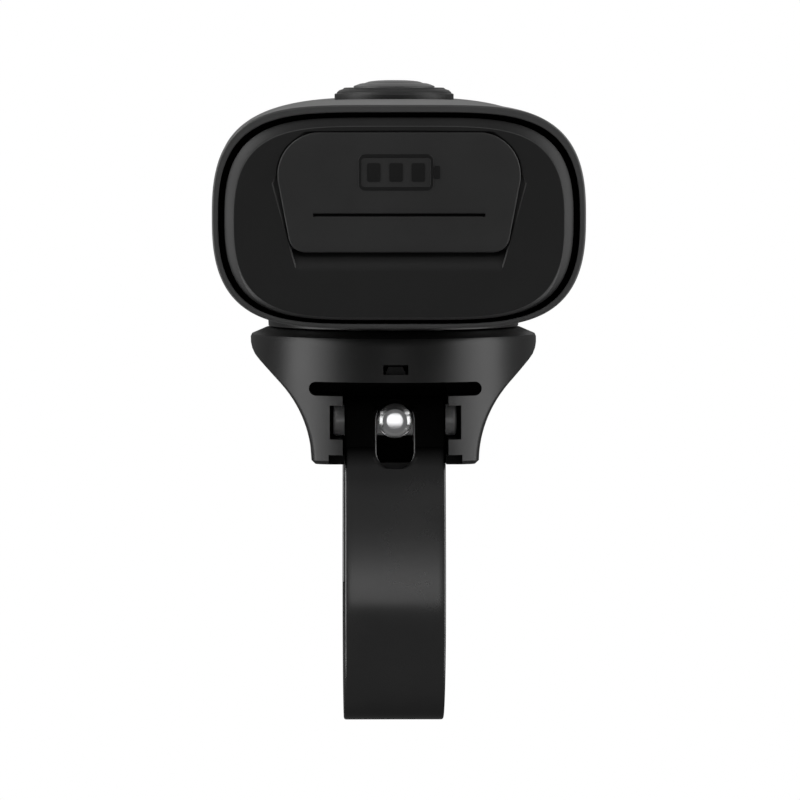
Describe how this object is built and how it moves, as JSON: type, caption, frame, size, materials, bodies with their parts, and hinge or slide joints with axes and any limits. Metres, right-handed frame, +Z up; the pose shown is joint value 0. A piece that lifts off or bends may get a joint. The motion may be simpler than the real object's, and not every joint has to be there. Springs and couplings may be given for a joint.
{
  "type": "bicycle headlight",
  "caption": "Black bicycle headlight with a rubber charging-port flap and a top button, twist-locked on a round bracket with a looped steel band clamp for a handlebar.",
  "frame": {"origin": "centre of the handlebar in the closed clamp", "axes": "+X along the handlebar to the right as seen from behind, +Y the way the beam points, +Z up"},
  "size_m": [0.048, 0.095, 0.0862],
  "materials": {
    "black_plastic": "satin",
    "cap_plastic": "smooth",
    "black_rubber": "matte",
    "flap_rubber": "matte",
    "black_steel": "satin",
    "bright_steel": "polished",
    "spring_steel": "satin",
    "lens_clear": "clear",
    "bowl_chrome": "mirror",
    "bare_aluminium": "satin",
    "lamp_chip": "satin",
    "board_green": "smooth",
    "cell_wrap": "satin"
  },
  "bodies": {
    "bracket": {"bracket": "black_plastic", "detent_spring": "spring_steel", "saddle_pad": "black_rubber", "clamp_band": "black_steel", "band_liner": "black_rubber", "front_pin": "black_steel", "nut_washer": "bright_steel"},
    "bolt": {"rear_pin": "black_steel", "clamp_bolt": "bright_steel"},
    "nut": {"clamp_nut": "bright_steel"},
    "head": {"foot": "black_plastic", "foot_screws": "bright_steel", "housing": "black_plastic", "rear_seal": "black_rubber", "rear_cap": "cap_plastic", "button_boot": "black_rubber", "front_bezel": "cap_plastic", "lens_seal": "black_rubber", "front_lens": "lens_clear", "reflector": "bowl_chrome", "led_board": "bare_aluminium", "led_emitters": "lamp_chip", "heat_spreader": "bare_aluminium", "spreader_screws": "bright_steel", "battery_cells": "cell_wrap", "battery_cradle": "black_plastic", "main_board": "board_green", "usb_socket": "bright_steel", "tact_switch": "black_plastic"},
    "flap": {"port_flap": "flap_rubber"},
    "button": {"power_button": "flap_rubber"}
  },
  "joints": [
    {"name": "nut_turn", "type": "hinge", "parent": "bracket", "child": "nut", "pos_m": [0, 0.01754, 0.0237], "axis": [0, 1, 0], "range_deg": [0, 1440]},
    {"name": "bolt_slide", "type": "slide", "parent": "bracket", "child": "bolt", "axis": [0, -1, 0], "range_m": [0, 0.0028], "deforming": ["clamp_band"]},
    {"name": "head_twist", "type": "hinge", "parent": "bracket", "child": "head", "pos_m": [0, 0, 0.035], "axis": [0, 0, 1], "range_deg": [0, 90]},
    {"name": "flap_hinge", "type": "hinge", "parent": "head", "child": "flap", "pos_m": [0, -0.04465, 0.0621], "axis": [-1, 0, 0], "range_deg": [0, 95]},
    {"name": "button_press", "type": "slide", "parent": "head", "child": "button", "axis": [0, 0, -1], "range_m": [0, 0.0007], "stiffness_N_per_m": 2500}
  ],
  "couplings": [
    {"joint": "nut_turn", "follows": "bolt_slide", "rad_per_m": 8975}
  ]
}
